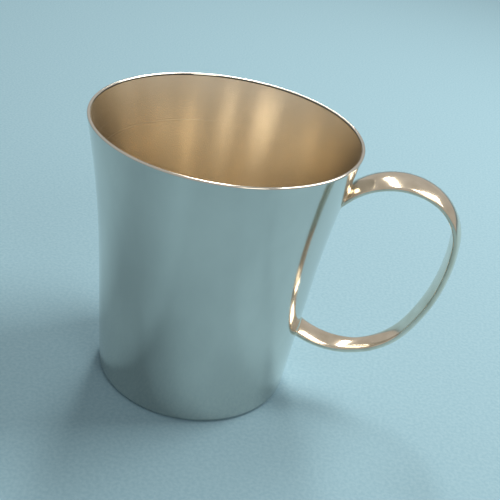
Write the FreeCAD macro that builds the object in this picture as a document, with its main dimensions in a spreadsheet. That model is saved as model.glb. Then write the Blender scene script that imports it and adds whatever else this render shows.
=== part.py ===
import FreeCAD, Part
import Sketcher
import math
import os

# Deep drawn metal cup with a soldered ribbon handle. Millimetres, +Z up.
# The origin is the centre of the underside; the handle lies in the XZ plane, on +X.

doc = FreeCAD.newDocument("cup")
V = FreeCAD.Vector

# ---------------------------------------------------------------- driving sizes
sheet = doc.addObject("Spreadsheet::Sheet", "sizes")
SIZES = [
    # the drawn shell
    ("cup_height", 86.2, "underside to top of lip"),
    ("rim_spread", 3.065, "how far the lip stands out past the line of the taper"),
    ("base_radius", 30.65, "wall radius where the taper line meets the underside"),
    ("taper_angle", 4.17, "lean of the straight lower wall, degrees"),
    ("flare_height", 41.0, "height at which the wall starts to flare"),
    ("wall", 1.0, "sheet thickness, the same in wall, floor and lip"),
    ("base_corner", 1.6, "outside radius between wall and underside"),
    # path of the handle, from the upper joint round to the lower one
    ("root_stand", 2.4, "how far outside the line of the taper the first bend starts"),
    ("root_height", 73.3, "height at which the first bend starts"),
    ("rise_angle", 48.3, "direction in which the handle leaves the wall, degrees"),
    ("root_length", 6.0, "straight ends of the bar before they are cut to the wall"),
    ("crown_bend", 20.5, "radius of the top bend"),
    ("crown_angle", 68.3, "sweep of the top bend, degrees"),
    ("shoulder_bend", 15.8, "radius of the outer shoulder"),
    ("shoulder_angle", 64.4, "sweep of the outer shoulder, degrees"),
    ("grip_bend", 57.1, "radius of the long grip"),
    ("grip_angle", 34.1, "sweep of the grip, degrees"),
    ("tail_bend", 23.35, "radius of the lower bend"),
    ("tail_angle", 89.25, "sweep of the lower bend, degrees"),
    # section of the handle: width, crown of the outer face, crown of the inner face
    ("root_width", 12.0, "width at the upper joint"),
    ("root_crown", 1.75, "outer crown at the upper joint"),
    ("root_belly", 0.95, "inner crown at the upper joint"),
    ("crown_width", 11.9, "width after the top bend"),
    ("crown_crown", 1.6, "outer crown after the top bend"),
    ("crown_belly", 0.9, "inner crown after the top bend"),
    ("grip_width", 11.5, "width at the start of the grip"),
    ("grip_crown", 1.85, "outer crown at the start of the grip"),
    ("grip_belly", 0.95, "inner crown at the start of the grip"),
    ("tail_width", 7.9, "width at the start of the lower bend"),
    ("tail_crown", 2.1, "outer crown at the start of the lower bend"),
    ("tail_belly", 1.0, "inner crown at the start of the lower bend"),
    ("waist_width", 6.6, "narrowest width, in the lower bend"),
    ("waist_crown", 2.5, "outer crown at the narrowest place"),
    ("waist_belly", 1.2, "inner crown at the narrowest place"),
    ("foot_width", 10.4, "width at the lower joint"),
    ("foot_crown", 2.7, "outer crown at the lower joint"),
    ("foot_belly", 1.25, "inner crown at the lower joint"),
    ("edge_round", 0.75, "radius along the two edges of the handle"),
]
for row, (alias, value, note) in enumerate(SIZES, start=1):
    sheet.set("A%d" % row, alias)
    sheet.set("B%d" % row, str(value))
    sheet.set("C%d" % row, note)
    sheet.setAlias("B%d" % row, alias)
doc.recompute()


def size(alias):
    return float(sheet.get(alias))


def bound(alias):
    return "<<sizes>>." + alias


sheet.Label = "sizes"


def add_body(name):
    body = doc.addObject("PartDesign::Body", name)
    body.Label = name
    return body


def plane(body, role):
    return next(f for f in body.Origin.OriginFeatures if f.Role == role)


def add_sketch(body, name, support, mode="FlatFace"):
    sketch = body.newObject("Sketcher::SketchObject", name)
    sketch.AttachmentSupport = support
    sketch.MapMode = mode
    return sketch


def drive(sketch, expression, *constraint):
    index = sketch.addConstraint(Sketcher.Constraint(*constraint))
    sketch.setExpression("Constraints[%d]" % index, expression)
    return index


def line(sketch, a, b):
    return sketch.addGeometry(Part.LineSegment(V(a[0], a[1], 0), V(b[0], b[1], 0)))


def arc(sketch, centre, radius, start, end):
    circle = Part.Circle(V(centre[0], centre[1], 0), V(0, 0, 1), radius)
    return sketch.addGeometry(Part.ArcOfCircle(circle, start, end))


def join(sketch, *pairs):
    for first, first_end, second, second_end in pairs:
        sketch.addConstraint(Sketcher.Constraint("Coincident", first, first_end, second, second_end))


def tangent(sketch, *pairs):
    for first, first_end, second, second_end in pairs:
        sketch.addConstraint(Sketcher.Constraint("Tangent", first, first_end, second, second_end))


# ---------------------------------------------------------------- outside of the wall
def flare(lean, start, lip):
    """Centre, radius and end angle of the outer flare arc that ends at the lip."""
    half = size("wall") / 2
    dx, dz = lip[0] - start[0], lip[1] - start[1]
    radius = (dx * dx + dz * dz - half * half) / (2 * (dx * math.cos(lean) - dz * math.sin(lean) + half))
    centre = (start[0] + radius * math.cos(lean), start[1] - radius * math.sin(lean))
    end = math.atan2(lip[1] - centre[1], lip[0] - centre[0])
    return centre, radius, end


def draw_outside(sketch):
    """Underside, base corner, taper and flare. Returns the geometry numbers and the lip arc."""
    lean = math.radians(size("taper_angle"))
    half, corner = size("wall") / 2, size("base_corner")
    height, start_z = size("cup_height"), size("flare_height")
    start = (size("base_radius") + start_z * math.tan(lean), start_z)
    lip = (size("base_radius") + height * math.tan(lean) + size("rim_spread") - half, height - half)
    # corner circle touches the underside and the taper line
    touch = size("base_radius") - corner * math.tan(math.pi / 4 - lean / 2)
    corner_centre = (touch, corner)
    centre, radius, end = flare(lean, start, lip)
    low = (corner_centre[0] + corner * math.cos(lean), corner - corner * math.sin(lean))

    floor = line(sketch, (0, 0), (touch, 0))
    bend = arc(sketch, corner_centre, corner, -math.pi / 2, -lean)
    taper = line(sketch, low, start)
    sweep = arc(sketch, centre, radius, end, math.pi - lean)
    edge = arc(sketch, lip, half, end - math.pi, end)
    add = sketch.addConstraint
    add(Sketcher.Constraint("Coincident", floor, 1, -1, 1))
    add(Sketcher.Constraint("Horizontal", floor))
    tangent(sketch, (floor, 2, bend, 1), (bend, 2, taper, 1), (taper, 2, sweep, 2), (sweep, 1, edge, 1))
    drive(sketch, bound("base_corner"), "Radius", bend, corner)
    drive(sketch, "90 deg - %s * 1 deg" % bound("taper_angle"), "Angle", -1, 1, taper, 1, math.pi / 2 - lean)
    drive(sketch, bound("flare_height"), "DistanceY", -1, 1, taper, 2, start_z)
    drive(sketch, "%s + %s * tan(%s * 1 deg)" % (bound("base_radius"), bound("flare_height"),
          bound("taper_angle")), "DistanceX", -1, 1, taper, 2, start[0])
    drive(sketch, "%s / 2" % bound("wall"), "Radius", edge, half)
    drive(sketch, "%s + %s * tan(%s * 1 deg) + %s - %s / 2" % (bound("base_radius"), bound("cup_height"),
          bound("taper_angle"), bound("rim_spread"), bound("wall")), "DistanceX", -1, 1, edge, 3, lip[0])
    drive(sketch, "%s - %s / 2" % (bound("cup_height"), bound("wall")), "DistanceY", -1, 1, edge, 3, lip[1])
    return dict(floor=floor, bend=bend, taper=taper, sweep=sweep, edge=edge, lean=lean, end=end,
                centre=centre, radius=radius, start=start, corner_centre=corner_centre, low=low, lip=lip)


# ---------------------------------------------------------------- cup_body
# One piece of sheet: flat floor, tight corner, straight taper, flare and a rounded lip.
cup = add_body("cup_body")
shell = add_sketch(cup, "shell_profile", [(plane(cup, "XZ_Plane"), "")])
out = draw_outside(shell)
wall, lean = size("wall"), out["lean"]
inner_corner = size("base_corner") - wall
inner_start = (out["start"][0] - wall * math.cos(lean), out["start"][1] + wall * math.sin(lean))
inner_low = (out["low"][0] - wall * math.cos(lean), out["low"][1] + wall * math.sin(lean))
in_sweep = arc(shell, out["centre"], out["radius"] + wall, out["end"], math.pi - lean)
in_taper = line(shell, inner_start, inner_low)
in_bend = arc(shell, out["corner_centre"], inner_corner, -math.pi / 2, -lean)
in_floor = line(shell, (out["corner_centre"][0], wall), (0, wall))
axis = line(shell, (0, wall), (0, 0))
join(shell, (in_floor, 2, axis, 1), (axis, 2, out["floor"], 1), (in_bend, 3, out["bend"], 3),
     (in_sweep, 3, out["sweep"], 3))
tangent(shell, (out["edge"], 2, in_sweep, 1), (in_sweep, 2, in_taper, 1), (in_taper, 2, in_bend, 2),
        (in_bend, 1, in_floor, 1))
shell.addConstraint(Sketcher.Constraint("Horizontal", in_floor))
shell.addConstraint(Sketcher.Constraint("Vertical", axis))
drive(shell, bound("wall"), "DistanceY", -1, 1, axis, 1, wall)
turned = cup.newObject("PartDesign::Revolution", "shell")
turned.Profile = shell
turned.ReferenceAxis = (shell, ["V_Axis"])
turned.Angle = 360
shell.Visibility = False
doc.recompute()


# ---------------------------------------------------------------- handle
# One cast bar: a broad flat ribbon at the top that narrows and thickens towards the tail
# and spreads again at the lower joint. Its two ends are cut to the curve of the wall.
handle = add_body("handle")
path = add_sketch(handle, "handle_path", [(plane(handle, "XZ_Plane"), "")])
heading = math.radians(size("rise_angle"))
root_reach = size("base_radius") + size("root_height") * math.tan(lean) + size("root_stand")
point = (root_reach, size("root_height"))
reach = size("root_length")
root = line(path, (point[0] - reach * math.cos(heading), point[1] - reach * math.sin(heading)), point)
drive(path, "%s + %s * tan(%s * 1 deg) + %s" % (bound("base_radius"), bound("root_height"),
      bound("taper_angle"), bound("root_stand")), "DistanceX", -1, 1, root, 2, point[0])
drive(path, bound("root_height"), "DistanceY", -1, 1, root, 2, point[1])
drive(path, bound("rise_angle") + " * 1 deg", "Angle", root, heading)
drive(path, bound("root_length"), "Distance", root, reach)
before = (root, 2)
for name in ("crown", "shoulder", "grip", "tail"):
    radius, turn = size(name + "_bend"), math.radians(size(name + "_angle"))
    centre = (point[0] + radius * math.sin(heading), point[1] - radius * math.cos(heading))
    bend = arc(path, centre, radius, heading - turn + math.pi / 2, heading + math.pi / 2)
    tangent(path, before + (bend, 2))
    drive(path, bound(name + "_bend"), "Radius", bend, radius)
    drive(path, bound(name + "_angle") + " * 1 deg", "Angle", bend, turn)
    heading -= turn
    point = (centre[0] - radius * math.sin(heading), centre[1] + radius * math.cos(heading))
    before = (bend, 1)
foot = line(path, point, (point[0] + reach * math.cos(heading), point[1] + reach * math.sin(heading)))
tangent(path, before + (foot, 1))
drive(path, bound("root_length"), "Distance", foot, reach)
path.Visibility = False
doc.recompute()


def add_section(name, edge, along):
    """Flat oval of four tangent arcs across the path, its crown turned away from the loop."""
    sketch = add_sketch(handle, name + "_section", [(path, edge)], "NormalToEdge")
    sketch.MapPathParameter = along
    doc.recompute()
    away = sketch.Placement.Base - V(root_reach + size("crown_bend") / 2, 0, size("cup_height") / 2)
    outward = sketch.Placement.Rotation.multVec(V(0, 1, 0)).dot(away) > 0
    top, low = ("crown", "belly") if outward else ("belly", "crown")
    edge_radius = size("edge_round")
    inset = size(name + "_width") / 2 - edge_radius

    def face(kind):
        rise = size(name + "_" + kind)
        radius = (inset ** 2 + rise ** 2 - edge_radius ** 2) / (2 * (rise - edge_radius))
        return radius, rise, math.atan2(radius - rise, inset)

    def face_expression(kind):
        values = dict(i="(%s / 2 - %s)" % (bound(name + "_width"), bound("edge_round")),
                      c=bound(name + "_" + kind), r=bound("edge_round"))
        return "({i} ^ 2 + {c} ^ 2 - {r} ^ 2) / (2 * ({c} - {r}))".format(**values)

    upper, rise_up, turn_up = face(top)
    lower, rise_low, turn_low = face(low)
    right = arc(sketch, (inset, 0), edge_radius, -turn_low, turn_up)
    over = arc(sketch, (0, rise_up - upper), upper, turn_up, math.pi - turn_up)
    left = arc(sketch, (-inset, 0), edge_radius, math.pi - turn_up, math.pi + turn_low)
    under = arc(sketch, (0, lower - rise_low), lower, math.pi + turn_low, 2 * math.pi - turn_low)
    for item, axis_line in ((right, -1), (left, -1), (over, -2), (under, -2)):
        sketch.addConstraint(Sketcher.Constraint("PointOnObject", item, 3, axis_line))
    tangent(sketch, (right, 2, over, 1), (over, 2, left, 1), (left, 2, under, 1), (under, 2, right, 1))
    drive(sketch, bound("edge_round"), "Radius", right, edge_radius)
    drive(sketch, "%s / 2 - %s" % (bound(name + "_width"), bound("edge_round")), "DistanceX", -1, 1, right, 3,
          inset)
    drive(sketch, face_expression(top), "Radius", over, upper)
    drive(sketch, face_expression(low), "Radius", under, lower)
    sketch.Visibility = False
    return sketch


first = add_section("root", "Edge1", 0)
others = [add_section("crown", "Edge2", 0), add_section("grip", "Edge3", 0), add_section("tail", "Edge4", 0),
          add_section("waist", "Edge5", 0.5), add_section("foot", "Edge6", 1)]
doc.recompute()
bar = handle.newObject("PartDesign::AdditivePipe", "bar")
bar.Profile = first
bar.Spine = (path, ["Edge%d" % number for number in range(1, 7)])
bar.Sections = others
bar.Transformation = "Multisection"
bar.Mode = "Standard"
doc.recompute()

# Everything inside the outer surface of the wall is cut away, so both ends of the bar stand flush on it.
envelope = add_sketch(handle, "wall_envelope", [(plane(handle, "XZ_Plane"), "")])
outside = draw_outside(envelope)
lid = line(envelope, (outside["lip"][0], size("cup_height")), (0, size("cup_height")))
middle = line(envelope, (0, size("cup_height")), (0, 0))
join(envelope, (lid, 2, middle, 1), (middle, 2, outside["floor"], 1))
tangent(envelope, (outside["edge"], 2, lid, 1))
envelope.addConstraint(Sketcher.Constraint("Vertical", middle))
envelope.Visibility = False
uncut_volume = bar.Shape.Volume
seat = handle.newObject("PartDesign::Groove", "wall_seat")
seat.Profile = envelope
seat.ReferenceAxis = (envelope, ["V_Axis"])
seat.Angle = 360
doc.recompute()
if not seat.Shape.Volume < uncut_volume:
    raise RuntimeError("the wall seat removed nothing from the handle")

# ---------------------------------------------------------------- check and export
pieces = [cup, handle]
for item in doc.Objects:
    if "Invalid" in item.State or "Error" in item.State:
        raise RuntimeError("%s did not build" % item.Label)
os.makedirs("parts", exist_ok=True)
for piece in pieces:
    if piece.Shape.isNull() or not piece.Shape.isValid() or len(piece.Shape.Solids) != 1:
        raise RuntimeError("%s is not one valid solid" % piece.Label)
for piece in pieces:
    piece.Shape.exportStep(os.path.join("parts", piece.Label + ".step"))
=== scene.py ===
import math

import bmesh
import bpy
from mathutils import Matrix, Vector


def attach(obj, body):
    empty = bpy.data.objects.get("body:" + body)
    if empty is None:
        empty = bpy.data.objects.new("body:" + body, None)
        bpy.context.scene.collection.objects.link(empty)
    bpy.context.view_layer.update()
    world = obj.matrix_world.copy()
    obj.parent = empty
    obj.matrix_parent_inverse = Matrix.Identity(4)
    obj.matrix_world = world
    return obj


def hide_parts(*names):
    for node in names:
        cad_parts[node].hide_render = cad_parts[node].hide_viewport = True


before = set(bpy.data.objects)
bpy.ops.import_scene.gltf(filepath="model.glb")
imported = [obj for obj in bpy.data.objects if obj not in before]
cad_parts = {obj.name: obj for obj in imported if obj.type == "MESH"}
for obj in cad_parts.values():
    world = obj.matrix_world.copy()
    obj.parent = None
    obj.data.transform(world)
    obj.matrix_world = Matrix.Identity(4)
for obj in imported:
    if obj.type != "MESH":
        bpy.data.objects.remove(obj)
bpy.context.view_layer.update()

# ------------------------------------------------------------------ cup_body
# The cup is one disc of brass sheet, 1 mm thick, deep drawn over a punch and spun smooth. It has a
# flat floor, a tight corner, a straight leaning wall that flares from half height, and a rounded lip.
WALL = 0.001
LEAN = math.radians(4.17)
CORNER_CENTRE, CORNER_RADIUS = (0.029162, 0.0016), 0.0016
FLARE_CENTRE, FLARE_RADIUS = (0.361092, 0.017126), 0.328322
FLARE_START, FLARE_END = math.pi - LEAN, 2.93151
LIP_CENTRE, LIP_RADIUS = (0.0395, 0.0857), 0.0005
LIP_GUARD = 0.0008        # angle of a narrow ring beside the lip, which keeps its shading off the wall
HUB_RADIUS = 0.004        # small disc in the middle of the underside from which the rings are drawn out
WARM_TINT_EDGE = 0.0391        # the warm tan tint, partly painted warm reflection, stops at this radius, just inside the lip
CUP_FACETS = 256


def arc_points(centre, radius, start, end, steps):
    """Points along an arc as (distance from the axis, height), its first point left out."""
    angles = [start + (end - start) * k / steps for k in range(1, steps + 1)]
    return [(centre[0] + radius * math.cos(a), centre[1] + radius * math.sin(a)) for a in angles]


def line_points(start, end, steps):
    """Points along a straight line, its first point left out."""
    return [(start[0] + (end[0] - start[0]) * k / steps, start[1] + (end[1] - start[1]) * k / steps)
            for k in range(1, steps + 1)]


def close_piece(piece, angle=40):
    """Merges doubles, turns all faces outwards, leaves edit mode and shades the piece smooth."""
    bpy.ops.mesh.select_all(action="SELECT")
    bpy.ops.mesh.remove_doubles(threshold=1e-6)
    bpy.ops.mesh.normals_make_consistent(inside=False)
    if bmesh.from_edit_mesh(piece.data).calc_volume(signed=True) < 0:
        bpy.ops.mesh.flip_normals()
    bpy.ops.object.mode_set(mode="OBJECT")
    bpy.ops.object.shade_smooth_by_angle(angle=math.radians(angle))


# Underside, corner, leaning wall, flare, lip, and then down the inside to the floor.
profile = [(0.014, 0.0), (0.026, 0.0), (0.0288, 0.0), (CORNER_CENTRE[0], 0.0)]
profile += arc_points(CORNER_CENTRE, CORNER_RADIUS, -math.pi / 2, -LEAN, 10)
taper_top = arc_points(FLARE_CENTRE, FLARE_RADIUS, FLARE_START, FLARE_START, 1)[0]
profile += line_points(profile[-1], taper_top, 12)
profile += arc_points(FLARE_CENTRE, FLARE_RADIUS, FLARE_START, FLARE_END + LIP_GUARD, 26)
profile += arc_points(FLARE_CENTRE, FLARE_RADIUS, FLARE_END + LIP_GUARD, FLARE_END, 1)
profile += arc_points(LIP_CENTRE, LIP_RADIUS, FLARE_END, FLARE_END - math.pi, 20)
profile += arc_points(FLARE_CENTRE, FLARE_RADIUS + WALL, FLARE_END, FLARE_END + LIP_GUARD, 1)
profile += arc_points(FLARE_CENTRE, FLARE_RADIUS + WALL, FLARE_END + LIP_GUARD, FLARE_START, 26)
inner_low = arc_points(CORNER_CENTRE, CORNER_RADIUS - WALL, -LEAN, -LEAN, 1)[0]
profile += line_points(profile[-1], inner_low, 12)
profile += arc_points(CORNER_CENTRE, CORNER_RADIUS - WALL, -LEAN, -math.pi / 2, 8)
profile += [(0.0288, WALL), (0.026, WALL), (0.020, WALL), (0.014, WALL), (0.008, WALL), (0.003, WALL)]

bpy.ops.object.select_all(action="DESELECT")
bpy.ops.mesh.primitive_circle_add(vertices=CUP_FACETS, radius=HUB_RADIUS, fill_type="TRIFAN",
                                  location=(0, 0, 0))
cup = bpy.context.object
cup.name = cup.data.name = "cup"
bpy.ops.object.mode_set(mode="EDIT")
bpy.ops.mesh.select_all(action="DESELECT")
bpy.ops.mesh.select_mode(type="EDGE")
bpy.ops.mesh.select_non_manifold()
ring = (HUB_RADIUS, 0.0)
for radius, height in profile:
    bpy.ops.mesh.extrude_region_move(TRANSFORM_OT_translate={"value": (0, 0, height - ring[1])})
    bpy.ops.transform.resize(value=(radius / ring[0], radius / ring[0], 1), center_override=(0, 0, height))
    ring = (radius, height)
bpy.ops.mesh.merge(type="CENTER")
close_piece(cup)


def linear(code):
    """A colour as it is seen, written as a hex code, in the renderer's linear values."""
    parts = [int(code[k:k + 2], 16) / 255 for k in (1, 3, 5)]
    return tuple(c / 12.92 if c <= 0.04045 else ((c + 0.055) / 1.055) ** 2.4 for c in parts) + (1.0,)


def node(tree, kind, links=(), **settings):
    """Adds a node with its links; settings with a capital are its sockets, the others its properties."""
    made = tree.nodes.new(kind)
    for key, value in settings.items():
        if key[0].isupper():
            made.inputs[key.replace("_", " ")].default_value = value
        else:
            setattr(made, key, value)
    for source, socket in links:
        tree.links.new(source, made.inputs[socket])
    return made


def new_material(name):
    """A material with an empty node tree, and that tree."""
    material = bpy.data.materials.new(name)
    material.use_nodes = True
    material.node_tree.nodes.clear()
    return material, material.node_tree


def stops(ramp, *pairs):
    """Sets the stops of a colour ramp, each as (place, colour)."""
    while len(ramp.color_ramp.elements) > 1:
        ramp.color_ramp.elements.remove(ramp.color_ramp.elements[-1])
    for index, (place, colour) in enumerate(pairs):
        stop = ramp.color_ramp.elements[0] if index == 0 else ramp.color_ramp.elements.new(place)
        stop.position, stop.color = place, colour


# Polished silver plate: buffed on a wheel after plating, so it mirrors its surroundings. The wheel
# leaves hair lines up the wall, about 0.7 mm apart and 40 mm long, that spread each highlight a little
# sideways. Real ones are finer and would not show. Patches of 20 to 45 mm are slightly duller.
plate, tree = new_material("polished_silver_plate")
place = node(tree, "ShaderNodeTexCoord")
around = node(tree, "ShaderNodeMapping", [(place.outputs["Object"], "Vector")], Scale=(1400, 1400, 25))
hair = node(tree, "ShaderNodeTexNoise", [(around.outputs["Vector"], "Vector")], Scale=1.0, Detail=3.0)
soft = node(tree, "ShaderNodeMapping", [(place.outputs["Object"], "Vector")], Scale=(45, 45, 22))
cloud = node(tree, "ShaderNodeTexNoise", [(soft.outputs["Vector"], "Vector")], Scale=1.0, Detail=4.0)
tone = node(tree, "ShaderNodeValToRGB", [(cloud.outputs["Fac"], "Fac")])
stops(tone, (0.30, linear("#CBCBC6")), (0.70, linear("#DDDCD6")))
dull = node(tree, "ShaderNodeMapRange", [(cloud.outputs["Fac"], "Value")], To_Min=0.07, To_Max=0.15)
relief = node(tree, "ShaderNodeBump", [(hair.outputs["Fac"], "Height")], Strength=0.10, Distance=0.00004)
metal = node(tree, "ShaderNodeBsdfPrincipled", [(tone.outputs["Color"], "Base Color"),
             (dull.outputs["Result"], "Roughness"), (relief.outputs["Normal"], "Normal")], Metallic=1.0)
node(tree, "ShaderNodeOutputMaterial", [(metal.outputs["BSDF"], "Surface")])

# Spun inside: the inside was turned on a lathe, so fine rings run round it, one
# every 0.3 mm, and light spreads up and down the wall into long soft streaks. Its warm tan colour is
# partly the metal's own slight warmth and partly painted reflection of warm room light; it varies a little
# over patches of 17 mm across and 60 mm high.
warm_tinted_satin, tree = new_material("spun_satin_painted_warm_reflection")
place = node(tree, "ShaderNodeTexCoord")
rings = node(tree, "ShaderNodeMapping", [(place.outputs["Object"], "Vector")], Scale=(1.5, 1.5, 3200))
turned = node(tree, "ShaderNodeTexNoise", [(rings.outputs["Vector"], "Vector")], Scale=1.0, Detail=2.0)
soft = node(tree, "ShaderNodeMapping", [(place.outputs["Object"], "Vector")], Scale=(60, 60, 16))
cloud = node(tree, "ShaderNodeTexNoise", [(soft.outputs["Vector"], "Vector")], Scale=1.0, Detail=4.0)
# Warm tan base colour: partly the metal's own tint, partly painted reflection of warm room light.
tone = node(tree, "ShaderNodeValToRGB", [(cloud.outputs["Fac"], "Fac")])
stops(tone, (0.28, linear("#DFD4C0")), (0.72, linear("#EDE4D2")))
dull = node(tree, "ShaderNodeMapRange", [(turned.outputs["Fac"], "Value")], To_Min=0.22, To_Max=0.30)
relief = node(tree, "ShaderNodeBump", [(turned.outputs["Fac"], "Height")], Strength=0.16, Distance=0.00004)
tangent = node(tree, "ShaderNodeTangent", direction_type="RADIAL", axis="Z")
metal = node(tree, "ShaderNodeBsdfPrincipled", [(tone.outputs["Color"], "Base Color"),
             (dull.outputs["Result"], "Roughness"), (relief.outputs["Normal"], "Normal"),
             (tangent.outputs["Tangent"], "Tangent")], Metallic=1.0, Anisotropic=0.65,
             Anisotropic_Rotation=0.25)
node(tree, "ShaderNodeOutputMaterial", [(metal.outputs["BSDF"], "Surface")])

cup.data.materials.append(plate)
cup.data.materials.append(warm_tinted_satin)
for face in cup.data.polygons:
    inward = face.normal.x * face.center.x + face.normal.y * face.center.y < -1e-9
    on_floor = face.normal.z > 0.5 and face.center.z < 0.003
    below_lip = WALL < face.center.z and math.hypot(face.center.x, face.center.y) < WARM_TINT_EDGE
    if (inward and below_lip) or on_floor:
        face.material_index = 1
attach(cup, "root")
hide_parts("cup_body")

# ------------------------------------------------------------------ handle
# The handle is one cast bar, broad and flat at the top, narrow and thick in the lower bend, and broad
# again at its foot. It is filed, polished and soldered to the wall at both ends, with a small fillet
# of solder round each foot. The feet follow the curve of the wall point by point, which no operator
# does, so the rings of this piece are laid in code.
ROUND = 0.00075           # radius along the two edges of the bar
SOLDER_LEG = 0.0008
FILLET_STEPS = 6
RING_SPACING = 0.0011
ROOT_POINT, ROOT_HEADING = (0.0383943, 0.0733), math.radians(48.3)
END_RUN = 0.006           # straight part at each end of the bar
BENDS = [(0.0205, 68.3), (0.0158, 64.4), (0.0571, 34.1), (0.02335, 89.25)]    # radius, sweep
# Width, crown of the outer face and crown of the inner face at six places along the bar.
SECTIONS = [(0.0120, 0.00175, 0.00095), (0.0119, 0.0016, 0.0009), (0.0115, 0.00185, 0.00095),
            (0.0079, 0.0021, 0.0010), (0.0066, 0.0025, 0.0012), (0.0104, 0.0027, 0.00125)]


def section_outline(width, crown, belly):
    """One half of the flat oval of four touching arcs, as (across, out) from crown to belly."""
    inset = width / 2 - ROUND
    quarters = []
    for rise, sign in ((crown, 1), (belly, -1)):
        radius = (inset ** 2 + rise ** 2 - ROUND ** 2) / (2 * (rise - ROUND))
        turn = math.atan2(radius - rise, inset)
        broad = [turn + (math.pi / 2 - turn) * (1 - k / 9) for k in range(10)]
        tight = [turn * (1 - k / 5) for k in range(1, 6)]
        face = [(radius * math.cos(a), sign * (rise - radius + radius * math.sin(a))) for a in broad]
        edge = [(inset + ROUND * math.cos(a), sign * ROUND * math.sin(a)) for a in tight]
        quarters.append(face + edge)
    return quarters[0] + quarters[1][-2::-1]


bends = [(radius * math.radians(sweep), radius) for radius, sweep in BENDS]
spans = [(END_RUN, 0.0)] + bends + [(END_RUN, 0.0)]       # length and bend radius of each stretch
BAR_LENGTH = sum(length for length, radius in spans)
span_ends = [sum(length for length, radius in spans[:k]) for k in range(2, 5)]
SECTION_PLACES = [0.0] + span_ends + [span_ends[-1] + spans[4][0] / 2, BAR_LENGTH]
OUTLINE = 2 * len(section_outline(*SECTIONS[0])) - 2      # points round one section


def bar_point(run, index):
    """Place of one outline point after a given length of the bar, the bends taken one by one."""
    x = ROOT_POINT[0] - END_RUN * math.cos(ROOT_HEADING)
    z = ROOT_POINT[1] - END_RUN * math.sin(ROOT_HEADING)
    heading, left = ROOT_HEADING, run
    for length, radius in spans:
        step = min(left, length)
        if radius:
            bearing = heading - step / radius
            x += radius * (math.sin(heading) - math.sin(bearing))
            z += radius * (math.cos(bearing) - math.cos(heading))
            heading = bearing
        else:
            x, z = x + step * math.cos(heading), z + step * math.sin(heading)
        left -= step
    k = max(n for n in range(5) if run >= SECTION_PLACES[n] - 1e-9)
    part = (run - SECTION_PLACES[k]) / (SECTION_PLACES[k + 1] - SECTION_PLACES[k])
    width, crown, belly = (a + (b - a) * part for a, b in zip(SECTIONS[k], SECTIONS[k + 1]))
    half = section_outline(width, crown, belly)
    across, out = half[index] if index < len(half) else half[OUTLINE - index]
    across = across if index < len(half) else -across
    return x - out * math.sin(heading), across, z + out * math.cos(heading)


def wall_radius(height):
    """Outer radius of the cup's wall at a height."""
    if height < taper_top[1]:
        return taper_top[0] - (taper_top[1] - height) * math.tan(LEAN)
    return FLARE_CENTRE[0] - math.sqrt(FLARE_RADIUS ** 2 - (height - FLARE_CENTRE[1]) ** 2)


def clearance(run, index):
    """How far one outline point stands outside the wall."""
    x, y, z = bar_point(run, index)
    return math.hypot(x, y) - wall_radius(z)


def meeting(index, inside_run, outside_run):
    """Length of the bar at which one outline point passes through the wall's outer surface."""
    for step in range(40):
        middle = (inside_run + outside_run) / 2
        if clearance(middle, index) < 0:
            inside_run = middle
        else:
            outside_run = middle
    return outside_run


def foot_rings(start, far, toward):
    """Rings of one foot from the wall outwards, the solder fillet first, and where the last one is."""
    runs_at_wall = [meeting(i, start, far) for i in range(OUTLINE)]
    corner = [Vector(bar_point(runs_at_wall[i], i)) for i in range(OUTLINE)]
    centre = sum(corner, Vector()) / OUTLINE
    on_wall, on_bar = [], []
    for i in range(OUTLINE):
        normal = Vector((corner[i].x, corner[i].y, 0)).normalized()
        edge = corner[(i + 1) % OUTLINE] - corner[i - 1]
        away = edge.cross(normal).normalized()
        away = away if away.dot(corner[i] - centre) > 0 else -away
        spread = corner[i] + away * SOLDER_LEG
        turn = wall_radius(spread.z) / math.hypot(spread.x, spread.y)
        on_wall.append(Vector((spread.x * turn, spread.y * turn, spread.z)))
        on_bar.append(Vector(bar_point(runs_at_wall[i] + toward * SOLDER_LEG, i)))
    rings = []
    for k in range(FILLET_STEPS + 1):
        t = k / FILLET_STEPS
        rings.append([on_wall[i] * (1 - t) ** 2 + corner[i] * 2 * t * (1 - t) + on_bar[i] * t ** 2
                      for i in range(OUTLINE)])
    furthest = max(runs_at_wall) if toward > 0 else min(runs_at_wall)
    last = furthest + toward * SOLDER_LEG * 1.6
    for k in range(1, FILLET_STEPS + 1):
        t = k / FILLET_STEPS
        rings.append([Vector(bar_point((runs_at_wall[i] + toward * SOLDER_LEG) * (1 - t) + last * t, i))
                      for i in range(OUTLINE)])
    return rings, last


# Each foot meets the wall within this length from its end of the bar.
UPPER_REACH, LOWER_REACH = 0.016, 0.012
upper, upper_end = foot_rings(0.0, UPPER_REACH, 1)
lower, lower_end = foot_rings(BAR_LENGTH, BAR_LENGTH - LOWER_REACH, -1)
count = round((lower_end - upper_end) / RING_SPACING)
places = [upper_end + (lower_end - upper_end) * k / count for k in range(1, count)]
middle_rings = [[Vector(bar_point(run, i)) for i in range(OUTLINE)] for run in places]
rings = upper + middle_rings + lower[::-1]
points = [point for ring in rings for point in ring]
faces = [(a * OUTLINE + i, a * OUTLINE + (i + 1) % OUTLINE, (a + 1) * OUTLINE + (i + 1) % OUTLINE,
          (a + 1) * OUTLINE + i) for a in range(len(rings) - 1) for i in range(OUTLINE)]
faces += [tuple(range(OUTLINE)), tuple(range((len(rings) - 1) * OUTLINE, len(rings) * OUTLINE))]
mesh = bpy.data.meshes.new("handle_bar")
mesh.from_pydata(points, [], faces)
handle = bpy.data.objects.new("handle_bar", mesh)
bpy.context.scene.collection.objects.link(handle)
bpy.ops.object.select_all(action="DESELECT")
handle.select_set(True)
bpy.context.view_layer.objects.active = handle
bpy.ops.object.mode_set(mode="EDIT")
close_piece(handle, 50)

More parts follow.
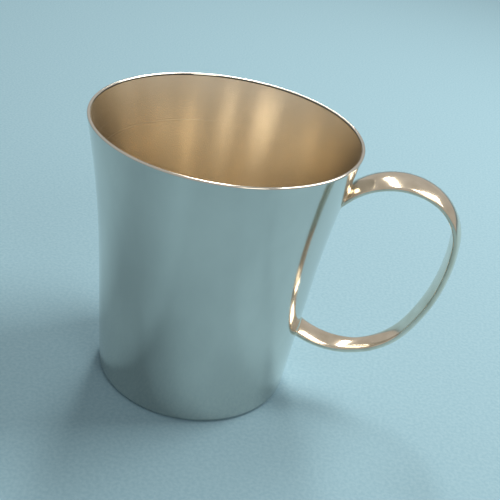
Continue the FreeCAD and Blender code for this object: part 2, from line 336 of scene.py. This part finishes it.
# Hand buffed silver plate: as bright as the wall, but buffed with no one direction, so its surface
# waves slightly over 8 mm and the highlights break up at their edges.
buffed, tree = new_material("hand_buffed_silver_plate")
place = node(tree, "ShaderNodeTexCoord")
soft = node(tree, "ShaderNodeMapping", [(place.outputs["Object"], "Vector")], Scale=(130, 130, 130))
cloud = node(tree, "ShaderNodeTexNoise", [(soft.outputs["Vector"], "Vector")], Scale=1.0, Detail=5.0)
tone = node(tree, "ShaderNodeValToRGB", [(cloud.outputs["Fac"], "Fac")])
# The cream tint, warmer than the wall's plate, is painted warm reflection of warm room light.
stops(tone, (0.30, linear("#CDC3B0")), (0.70, linear("#E6DECF")))
dull = node(tree, "ShaderNodeMapRange", [(cloud.outputs["Fac"], "Value")], To_Min=0.09, To_Max=0.20)
relief = node(tree, "ShaderNodeBump", [(cloud.outputs["Fac"], "Height")], Strength=0.12, Distance=0.0002)
metal = node(tree, "ShaderNodeBsdfPrincipled", [(tone.outputs["Color"], "Base Color"),
             (dull.outputs["Result"], "Roughness"), (relief.outputs["Normal"], "Normal")], Metallic=1.0)
node(tree, "ShaderNodeOutputMaterial", [(metal.outputs["BSDF"], "Surface")])
handle.data.materials.append(buffed)
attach(handle, "root")
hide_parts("handle")

# ------------------------------------------------------------------ floor
# A plain sheet of matt, pale blue-grey card, 6 m square, that the cup stands on.
bpy.ops.object.select_all(action="DESELECT")
bpy.ops.mesh.primitive_plane_add(size=6.0, location=(0, 0, 0))
floor = bpy.context.object
floor.name = "floor"
card, tree = new_material("matt_card")
place = node(tree, "ShaderNodeTexCoord")
fibre = node(tree, "ShaderNodeTexNoise", [(place.outputs["Object"], "Vector")], Scale=900.0, Detail=2.0)
tone = node(tree, "ShaderNodeValToRGB", [(fibre.outputs["Fac"], "Fac")])
stops(tone, (0.35, linear("#8DB8D2")), (0.65, linear("#98C1D9")))
paper = node(tree, "ShaderNodeBsdfPrincipled", [(tone.outputs["Color"], "Base Color")], Roughness=0.9)
node(tree, "ShaderNodeOutputMaterial", [(paper.outputs["BSDF"], "Surface")])
floor.data.materials.append(card)

# ------------------------------------------------------------------ light and camera
# A plain room with three soft boxes: the key above right and behind, a long strip behind, and a small
# fill in front on the right. The eye and the metal see the room in pale grey.
world = bpy.data.worlds.new("room")
bpy.context.scene.world = world
world.use_nodes = True
tree = world.node_tree
tree.nodes.clear()
ray = node(tree, "ShaderNodeLightPath")
seen = node(tree, "ShaderNodeMath", [(ray.outputs["Is Camera Ray"], 0), (ray.outputs["Is Glossy Ray"], 1)],
            operation="MAXIMUM")
seen = node(tree, "ShaderNodeMath", [(seen.outputs[0], 0), (ray.outputs["Is Transmission Ray"], 1)],
            operation="MAXIMUM")
fill = node(tree, "ShaderNodeBackground", Color=linear("#A8A197"), Strength=0.75)
pale = node(tree, "ShaderNodeBackground", Color=linear("#C2BDB6"), Strength=1.0)
shown = node(tree, "ShaderNodeMixShader",
             [(seen.outputs[0], "Fac"), (fill.outputs[0], 1), (pale.outputs[0], 2)])
node(tree, "ShaderNodeOutputWorld", [(shown.outputs[0], "Surface")])
for name, power, width, height, spot, aim in (
        ("key_box", 4.6, 0.35, 0.45, (0.42, 0.25, 0.62), (0.05, 0, 0.05)),
        ("strip_box", 3.0, 0.10, 0.6, (-0.10, 0.55, 0.75), (0, 0, 0.05)),
        ("front_box", 1.0, 0.3, 0.3, (0.45, -0.55, 0.70), (0, 0, 0.05))):
    data = bpy.data.lights.new(name, "AREA")
    data.shape, data.size, data.size_y, data.energy = "RECTANGLE", width, height, power
    data.color = linear("#FFF3E2")[:3]
    box = bpy.data.objects.new(name, data)
    box.location = spot
    box.rotation_euler = (Vector(aim) - Vector(spot)).to_track_quat("-Z", "Y").to_euler()
    bpy.context.scene.collection.objects.link(box)

lens = bpy.data.cameras.new("camera")
lens.lens, lens.sensor_width, lens.clip_start = 62.64, 36.0, 0.01
camera = bpy.data.objects.new("camera", lens)
camera.location = (0.03427753, -0.23073354, 0.1815687)
camera.rotation_euler = [math.radians(angle) for angle in (59.390256, -9.021883, 10.642228)]
bpy.context.scene.collection.objects.link(camera)
bpy.context.scene.camera = camera
bpy.context.scene.view_settings.view_transform = "Standard"
